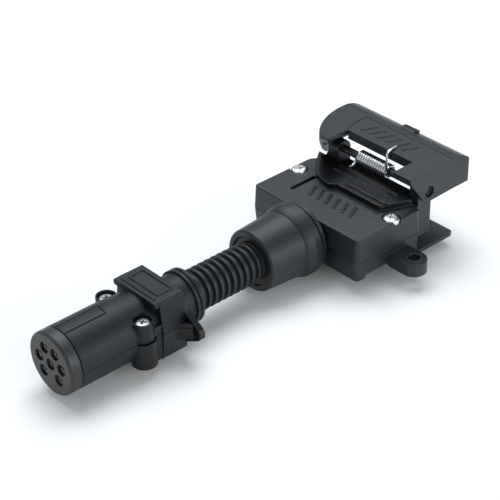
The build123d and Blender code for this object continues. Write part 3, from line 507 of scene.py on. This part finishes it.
def screw_pair():
    """Two screws side by side across the object, the second turned on its own axis."""
    graph, size = geometry_tree(
        "screw_pair",
        {"Centre": "Vector", "Spacing": "Float", "Second turn": "Float", "Material": "Material"},
    )
    line = graph.add(
        "GeometryNodeMeshLine", {}, {"Count": 2, "Offset": vector_of(graph, 0.0, size["Spacing"], 0.0)}
    )
    moved = graph.add("GeometryNodeSetPosition", {}, {"Geometry": line, "Offset": size["Centre"]})
    number = graph.add("GeometryNodeInputIndex")
    screws = graph.add(
        "GeometryNodeInstanceOnPoints",
        {},
        {
            "Points": moved,
            "Instance": size["Geometry"],
            "Rotation": vector_of(graph, 0.0, 0.0, number * size["Second turn"]),
        },
    )
    end_tree(graph, screws, size["Material"])
    return graph.tree


# ---------------------------------------------------------------- camera, floor and light
floor_shape = bmesh.new()
bmesh.ops.create_grid(floor_shape, x_segments=2, y_segments=2, size=6.0)
floor = from_bmesh("floor", floor_shape)


def paper(graph, where):
    tooth = noise(graph, where, 900.0, 3.0)
    return {
        "Base Color": mixed(graph, tooth * 0.2, (0.93, 0.93, 0.93), (0.9, 0.9, 0.9)),
        "Roughness": 0.8 + tooth * 0.1,
        "Specular IOR Level": 0.1,
    }


wear(floor, finish("white_paper", paper))

CAMERA_PLACE = Vector(metres(-314.0, -352.5, 328.3))
CAMERA_TARGET = Vector(metres(4.45, 3.3, 15.15))
CAMERA_ROLL = radians(-0.88)

camera = bpy.data.objects.new("camera", bpy.data.cameras.new("camera"))
bpy.context.scene.collection.objects.link(camera)
back = (CAMERA_PLACE - CAMERA_TARGET).normalized()
right = Vector((0, 0, 1)).cross(back).normalized()
up = back.cross(right)
rolled_right = right * cos(CAMERA_ROLL) + up * sin(CAMERA_ROLL)
rolled_up = up * cos(CAMERA_ROLL) - right * sin(CAMERA_ROLL)
turned = Matrix((rolled_right, rolled_up, back)).transposed()
camera.matrix_world = Matrix.Translation(CAMERA_PLACE) @ turned.to_4x4()
camera.data.lens = 121.07
camera.data.sensor_width = 36
camera.data.clip_start = 0.01
bpy.context.scene.camera = camera


LAMP_COLOUR = (0.88, 0.95, 1.0)
SKY_STRENGTH = 0.36


def softbox(name, place, target, width, height, watts):
    lamp = bpy.data.objects.new(name, bpy.data.lights.new(name, "AREA"))
    lamp.data.shape = "RECTANGLE"
    lamp.data.size = width
    lamp.data.size_y = height
    lamp.data.energy = watts
    lamp.data.color = LAMP_COLOUR
    lamp.location = place
    aim = Vector(target) - Vector(place)
    lamp.rotation_mode = "QUATERNION"
    lamp.rotation_quaternion = aim.to_track_quat("-Z", "Y")
    bpy.context.scene.collection.objects.link(lamp)


softbox("overhead", (0.3, 0.45, 1.15), (0, 0, 0), 1.2, 1.0, 17)
softbox("right_side", (0.3, -1.15, 0.38), (0, 0, 0.02), 1.3, 0.6, 9)
softbox("left_front", (-1.2, 0.1, 0.7), (0, 0, 0), 0.6, 0.5, 0.6)

world = bpy.data.worlds.new("studio")
world.use_nodes = True
world.node_tree.nodes["Background"].inputs["Color"].default_value = (1, 1, 1, 1)
world.node_tree.nodes["Background"].inputs["Strength"].default_value = SKY_STRENGTH
bpy.context.scene.world = world
bpy.context.scene.view_settings.view_transform = "Standard"

# ---------------------------------------------------------------- boot
CASE_END = -26.75
COLLAR_X = 1.45
RIB_X = CASE_END + 0.6
RIB_PITCH = 2.75
RIBS_EACH = 5
BOOT_MIDDLE = RIB_X + RIB_PITCH * RIBS_EACH
BOOT_BORE = 4.8
BOOT_TROUGH = 5.9
BOOT_CREST = 7.4
BOOT_TAIL = COLLAR_X + 8.0
NECK_RADIUS = 7.0  # where the plug's neck grips the boot
BEAD_RADIUS = 7.8  # the bead that locks the boot behind the neck
TAIL_RADIUS = 6.8  # the plain end inside the collar
ROUND = 0.2  # softening of the boot's rims
BOOT_NOSE = CASE_END - 6.0
BEAD_END = CASE_END - 4.3
RIBS_END = RIB_X + 2 * RIBS_EACH * RIB_PITCH
CABLE_START, CABLE_END = (RIB_X, 0, AXIS_Z), (COLLAR_X - 0.9, 0, AXIS_Z)
CABLE_MIDDLE = (BOOT_MIDDLE, 0, AXIS_Z)

sleeve_tree = ribbed_sleeve()


def boot_half(name, start, other_points):
    """Half of the boot: five ribs, and the lathe-turned end and bore that close it."""
    seed = piece_from(name + "_seed", bpy.data.meshes.new(name + "_seed"))
    mesh = grown(
        seed,
        sleeve_tree,
        {
            "Start": start * MM,
            "Pitch": RIB_PITCH * MM,
            "Count": RIBS_EACH,
            "Trough radius": BOOT_TROUGH * MM,
            "Crest radius": BOOT_CREST * MM,
            "Axis height": AXIS_Z * MM,
            "Material": rubber,
        },
    )
    shape = bmesh.new()
    shape.from_mesh(mesh)
    bpy.data.meshes.remove(mesh)
    lathe(shape, other_points)
    bmesh.ops.remove_doubles(shape, verts=shape.verts, dist=2e-6)
    half = from_bmesh(name, shape, 60)
    wear(half, rubber)
    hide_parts("boot")
    return half


boot_front = boot_half(
    "boot_front",
    RIB_X,
    [
        (BOOT_MIDDLE, BOOT_TROUGH),
        (BOOT_MIDDLE, BOOT_BORE),
        (RIB_X + 6, BOOT_BORE),
        (RIB_X, BOOT_BORE),
        (BOOT_NOSE, BOOT_BORE),
        (BOOT_NOSE, BEAD_RADIUS - ROUND),
        (BOOT_NOSE + ROUND, BEAD_RADIUS),
        (BEAD_END - ROUND, BEAD_RADIUS),
        (BEAD_END, BEAD_RADIUS - ROUND),
        (BEAD_END, NECK_RADIUS),
        (CASE_END + 0.2, NECK_RADIUS),
        (CASE_END + 0.3, NECK_RADIUS - 0.1),
        (CASE_END + 0.4, BOOT_TROUGH + ROUND),
        (RIB_X, BOOT_TROUGH),
    ],
)
metres(*CABLE_START)
metres(*CABLE_MIDDLE)
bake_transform(boot_front)

boot_rear = boot_half(
    "boot_rear",
    BOOT_MIDDLE,
    [
        (RIBS_END, BOOT_TROUGH),
        (RIBS_END + 0.1, TAIL_RADIUS - ROUND),
        (RIBS_END + 0.3, TAIL_RADIUS),
        (BOOT_TAIL - 0.3, TAIL_RADIUS),
        (BOOT_TAIL, TAIL_RADIUS - 0.3),
        (BOOT_TAIL, BOOT_BORE),
        (COLLAR_X, BOOT_BORE),
        (COLLAR_X - 6, BOOT_BORE),
        (BOOT_MIDDLE, BOOT_BORE),
        (BOOT_MIDDLE, BOOT_TROUGH),
    ],
)
metres(*CABLE_MIDDLE)
metres(*CABLE_END)
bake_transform(boot_rear)

# ---------------------------------------------------------------- cable and wires
SHEATH_X0, SHEATH_X1 = -45.75, 19.95
SHEATH_RADIUS, SHEATH_BORE = 4.3, 3.35


def stations(x0, x1, step):
    count = max(2, round((x1 - x0) / step))
    return [x0 + (x1 - x0) * number / count for number in range(count + 1)]


def sheath_half(name, x0, x1):
    """A length of the cable's cover, as a closed tube."""
    shape = bmesh.new()
    outside = [(x, SHEATH_RADIUS) for x in stations(x0, x1, 1.5)]
    inside = [(x, SHEATH_BORE) for x in reversed(stations(x0, x1, 1.5))]
    lathe(shape, outside + inside, segments=48, closed=True)
    half = from_bmesh(name, shape)
    wear(half, sheath_pvc)
    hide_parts("cable_sheath")
    return half


sheath_front = sheath_half("cable_sheath_front", SHEATH_X0, BOOT_MIDDLE)
metres(*CABLE_START)
metres(*CABLE_MIDDLE)
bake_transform(sheath_front)
sheath_rear = sheath_half("cable_sheath_rear", BOOT_MIDDLE, SHEATH_X1)
metres(*CABLE_MIDDLE)
metres(*CABLE_END)
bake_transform(sheath_rear)

WIRE_RADIUS = 0.9
CORE_RADIUS = 0.68
FRONT_CORE_LENGTH, REAR_CORE_LENGTH, CORE_OVERLAP = 5.4, 4.4, 0.4
CONTACT_STEP = radians(55)
PLUG_RING, CABLE_RING = 5.7, 2.12
SOCKET_PITCH = 5.6
SOCKET_CONTACT_Z = 14.8
# Places along X, mm: the bundle in the sheath, then the fan out to the flat socket's contacts.
PLUG_CONTACT_X, CENTRE_CONTACT_X = -59.25, -55.25
PLUG_FAN_X, BUNDLE_START_X, BUNDLE_END_X = -55.75, -48.75, 22.45
SOCKET_FAN_X, SOCKET_ENTRY_X, SOCKET_CONTACT_X = 28.65, 34.75, 37.95
WIRE_PLACES = {
    # colour: steps round the plug's ring from its top, steps along the socket's row from its middle
    "white": (None, 0),
    "yellow": (0.5, 1),
    "black": (-0.5, -1),
    "green": (2.5, 2),
    "blue": (-2.5, -2),
    "red": (1.5, 3),
    "brown": (-1.5, -3),
}


def on_ring(steps, radius):
    """(y, z) on a ring round the cable axis; the white wire runs along the axis itself."""
    if steps is None:
        return 0, AXIS_Z
    turn = steps * CONTACT_STEP
    return radius * sin(turn), AXIS_Z + radius * cos(turn)


def wire_route(colour):
    """Control points in mm: the plug's contact, the bundle in the cable, the contact in the flat socket."""
    ring_steps, row_steps = WIRE_PLACES[colour]
    plug_y, plug_z = on_ring(ring_steps, PLUG_RING)
    cable_y, cable_z = on_ring(ring_steps, CABLE_RING)
    socket_y = row_steps * SOCKET_PITCH
    if row_steps:
        route = [(PLUG_CONTACT_X, plug_y, plug_z), (PLUG_FAN_X, plug_y, plug_z)]
        route.append((BUNDLE_START_X, cable_y, cable_z))
    else:
        route = [(CENTRE_CONTACT_X, plug_y, plug_z)]
    route += [(BOOT_MIDDLE, cable_y, cable_z), (BUNDLE_END_X, cable_y, cable_z)]
    if row_steps:
        fan_y = socket_y * 0.24 + cable_y * 0.9
        fan_z = SOCKET_CONTACT_Z * 0.1 + cable_z * 0.9
        route.append((SOCKET_FAN_X, fan_y, fan_z))
    entry = (SOCKET_ENTRY_X, socket_y, SOCKET_CONTACT_Z)
    return route + [entry, (SOCKET_CONTACT_X, socket_y, SOCKET_CONTACT_Z)]


def smooth_line(name, route, radius, turns=10):
    """A round wire along a smooth spline through the route's control points, as a mesh."""
    curve = bpy.data.curves.new(name, "CURVE")
    curve.dimensions = "3D"
    curve.bevel_depth = radius * MM
    curve.bevel_resolution = 4
    curve.use_fill_caps = True
    spline = curve.splines.new("NURBS")
    spline.points.add(len(route) - 1)
    for point, place in zip(spline.points, route):
        point.co = (*metres(*place), 1)
    spline.order_u = 3
    spline.use_endpoint_u = True
    spline.resolution_u = turns
    holder = piece_from(name + "_line", curve)
    bpy.context.view_layer.update()
    mesh = bpy.data.meshes.new_from_object(holder.evaluated_get(bpy.context.evaluated_depsgraph_get()))
    bpy.data.objects.remove(holder)
    return mesh


def wire_half(name, mesh, cut_x, keep_front, core, colour):
    """The part of a wire on one side of the cable's middle, with the bare core that enters its contact."""
    shape = bmesh.new()
    shape.from_mesh(mesh)
    bmesh.ops.remove_doubles(shape, verts=shape.verts, dist=1e-7)
    everything = shape.verts[:] + shape.edges[:] + shape.faces[:]
    cut = bmesh.ops.bisect_plane(
        shape,
        geom=everything,
        dist=1e-7,
        plane_co=metres(cut_x, 0, 0),
        plane_no=(1, 0, 0),
        clear_outer=keep_front,
        clear_inner=not keep_front,
    )
    rim = [element for element in cut["geom_cut"] if isinstance(element, bmesh.types.BMEdge)]
    bmesh.ops.contextual_create(shape, geom=rim)
    covered = len(shape.faces)
    (x0, x1), y, z = core
    lathe(shape, [(x0, 0), (x0, CORE_RADIUS), (x1, CORE_RADIUS), (x1, 0)], y, z, segments=16)
    shape.faces.ensure_lookup_table()
    for face in shape.faces[covered:]:
        face.material_index = 1
    half = from_bmesh(name, shape)
    wear(half, wire_finish[colour], copper)
    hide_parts(f"wire_{colour}")
    return half


for colour in WIRE_PLACES:
    route = wire_route(colour)
    wire_mesh = smooth_line(f"wire_{colour}", route, WIRE_RADIUS)
    start, end = route[0], route[-1]
    front_core = ((start[0] - FRONT_CORE_LENGTH, start[0] + CORE_OVERLAP), start[1], start[2])
    rear_core = ((end[0] - CORE_OVERLAP, end[0] + REAR_CORE_LENGTH), end[1], end[2])
    front = wire_half(f"wire_{colour}_front", wire_mesh, BOOT_MIDDLE, True, front_core, colour)
    metres(*CABLE_START)
    metres(*CABLE_MIDDLE)
    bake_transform(front)
    rear = wire_half(f"wire_{colour}_rear", wire_mesh, BOOT_MIDDLE, False, rear_core, colour)
    metres(*CABLE_MIDDLE)
    metres(*CABLE_END)
    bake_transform(rear)
    bpy.data.meshes.remove(wire_mesh)

# ---------------------------------------------------------------- lid spring
HINGE_X, HINGE_Z = 61.65, 27.1
LID_TOP = 35.8
COIL_RADIUS = 2.35
COIL_TURNS = 14
COIL_PITCH = 1.08
COIL_Y0 = -7.4
SPRING_WIRE = 0.45
STEPS_PER_TURN = 24
coil_y1 = COIL_Y0 + COIL_TURNS * COIL_PITCH


def coil_tree():
    """Round wire drawn along a line that the tree is given."""
    graph, size = geometry_tree("round_wire", {"Wire radius": "Float", "Material": "Material"})
    section = graph.add(
        "GeometryNodeCurvePrimitiveCircle",
        {"mode": "RADIUS"},
        {"Resolution": 10, "Radius": size["Wire radius"]},
    )
    rod = graph.add(
        "GeometryNodeCurveToMesh",
        {},
        {"Curve": size["Geometry"], "Profile Curve": section, "Fill Caps": True},
    )
    end_tree(graph, rod, size["Material"])
    return graph.tree


# The moving leg hooks over the lid's top, the coil winds round the pin, the fixed leg rests on the cover.
spring_points = [
    (HINGE_X + 2.95, COIL_Y0 + 0.6, LID_TOP + 0.33),
    (HINGE_X + 1.75, COIL_Y0 + 0.45, LID_TOP + 0.35),
    (HINGE_X - 0.05, COIL_Y0 + 0.2, LID_TOP + 0.35),
    (HINGE_X - 1.55, COIL_Y0, LID_TOP + 0.33),
    (HINGE_X - 2.1, COIL_Y0 - 0.05, LID_TOP - 0.2),
    (HINGE_X - 2.25, COIL_Y0 - 0.1, LID_TOP - 1.6),
    (HINGE_X - 2.33, COIL_Y0 - 0.1, LID_TOP - 5.0),
]
for step in range(COIL_TURNS * STEPS_PER_TURN + 1):
    turn = 2 * pi * step / STEPS_PER_TURN + pi
    spring_points.append(
        (
            HINGE_X + COIL_RADIUS * cos(turn),
            COIL_Y0 + COIL_PITCH * step / STEPS_PER_TURN,
            HINGE_Z - COIL_RADIUS * sin(turn),
        )
    )
fixed_leg_z = HINGE_Z - 2.1
spring_points += [
    (HINGE_X - 2.4, coil_y1 + 0.02, HINGE_Z - 1.2),
    (HINGE_X - 2.75, coil_y1 + 0.02, HINGE_Z - 1.5),
    (HINGE_X - 3.45, coil_y1, fixed_leg_z + 0.05),
    (HINGE_X - 4.35, coil_y1, fixed_leg_z),
    (HINGE_X - 5.15, coil_y1, fixed_leg_z),
]
spring_curve = bpy.data.curves.new("spring_line", "CURVE")
spring_curve.dimensions = "3D"
spring_spline = spring_curve.splines.new("POLY")
spring_spline.points.add(len(spring_points) - 1)
for point, place in zip(spring_spline.points, spring_points):
    point.co = (*metres(*place), 1)
spring_seed = piece_from("spring_seed", spring_curve)
spring_mesh = grown(spring_seed, coil_tree(), {"Wire radius": SPRING_WIRE * MM, "Material": spring_steel})
spring_shape = bmesh.new()
spring_shape.from_mesh(spring_mesh)
bpy.data.meshes.remove(spring_mesh)
torsion_spring = from_bmesh("torsion_spring", spring_shape, 50)
wear(torsion_spring, spring_steel)
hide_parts("lid_spring")
metres(HINGE_X, COIL_Y0 + 0.4, HINGE_Z)
metres(HINGE_X, coil_y1 - 0.4, HINGE_Z)
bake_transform(torsion_spring)

# ---------------------------------------------------------------- screws
pair_tree = screw_pair()


def pan_head_screw(name, seat, head, height, shank, tip, turn):
    """A pan-head screw with a cross recess and a threaded shank, pointing down, all in mm."""
    rim = height * 0.42
    steps = 10
    shape = bmesh.new()
    profile = [(seat, 0), (seat, head)]
    profile += [(seat + rim * 0.9, head)]
    for step in range(1, steps + 1):
        t = step / steps
        rise = (height - rim) * sin(t * pi / 2) ** 0.9
        profile.append((seat + rim + rise, head * cos(t * pi / 2 * 0.999) ** 0.45))
    profile[-1] = (seat + height, 0)
    lathe(shape, profile, 0, 0, segments=48)
    thread = [(seat + 0.05, 0), (seat + 0.05, shank * 0.82)]
    x = seat - 0.6
    while x > tip + 1.2:
        thread += [(x, shank * 0.78), (x - 0.25, shank), (x - 0.35, shank), (x - 0.6, shank * 0.78)]
        x -= 0.75
    thread += [(tip + 0.6, shank * 0.75), (tip, 0)]
    lathe(shape, thread, 0, 0, segments=24)
    # the lathe's axis is X, so the screw is stood up along Z
    upright = Matrix(((0, 0, 1, 0), (0, 1, 0, 0), (1, 0, 0, 0), (0, 0, 0, 1)))
    bmesh.ops.transform(shape, matrix=upright, verts=shape.verts)
    body = from_bmesh(name + "_blank", shape, 50)
    cutter_shape = bmesh.new()
    for quarter in (0, 1):
        arm = bmesh.ops.create_cube(cutter_shape, size=1)["verts"]
        for corner in arm:
            high = corner.co.z > 0
            corner.co = Vector(
                (
                    corner.co.x * head * (1.22 if high else 0.5),
                    corner.co.y * head * (0.27 if high else 0.2),
                    seat + height * (1.2 if high else 0.28),
                )
            )
        for corner in arm:
            corner.co = Matrix.Rotation(radians(turn + 90 * quarter), 3, "Z") @ corner.co
    for corner in cutter_shape.verts:
        corner.co *= MM
    cutter = from_bmesh(name + "_cutter", cutter_shape)
    recess = body.modifiers.new("recess", "BOOLEAN")
    recess.operation = "DIFFERENCE"
    recess.object = cutter
    recess.solver = "EXACT"
    recess.use_self = True
    bpy.context.view_layer.update()
    cut = bpy.data.meshes.new_from_object(body.evaluated_get(bpy.context.evaluated_depsgraph_get()))
    bpy.data.objects.remove(body)
    bpy.data.objects.remove(cutter)
    return piece_from(name + "_seed", cut)


def lay_screws(name, node, body, seat, head, height, shank, turn, second_turn, metal):
    """A pair of screws where the CAD pair stands, on one body."""
    low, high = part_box(node)
    centre_x = (low.x + high.x) / 2
    tip = low.z / MM
    seed = pan_head_screw(name, seat, head, height, shank, tip, turn)
    spacing = high.y - low.y - 2 * head * MM
    mesh = grown(
        seed,
        pair_tree,
        {
            "Centre": (centre_x, -spacing / 2, 0.0),
            "Spacing": spacing,
            "Second turn": radians(second_turn),
            "Material": metal,
        },
    )
    shape = bmesh.new()
    shape.from_mesh(mesh)
    bpy.data.meshes.remove(mesh)
    screws = from_bmesh(name, shape, 40)
    wear(screws, metal)
    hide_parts(node)
    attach(screws, body)


COVER_SCREW_SEAT = 20.6
CASE_SCREW_HEIGHT = 1.7
case_screw_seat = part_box("plug_case_screws")[1].z / MM - CASE_SCREW_HEIGHT
lay_screws(
    "cover_screws",
    "socket_cover_screws",
    "socket",
    seat=COVER_SCREW_SEAT,
    head=2.95,
    height=1.8,
    shank=1.3,
    turn=20,
    second_turn=40,
    metal=zinc_steel,
)
lay_screws(
    "case_screws",
    "plug_case_screws",
    "plug",
    seat=case_screw_seat,
    head=2.75,
    height=CASE_SCREW_HEIGHT,
    shank=1.3,
    turn=35,
    second_turn=25,
    metal=dull_zinc,
)

bpy.context.view_layer.update()
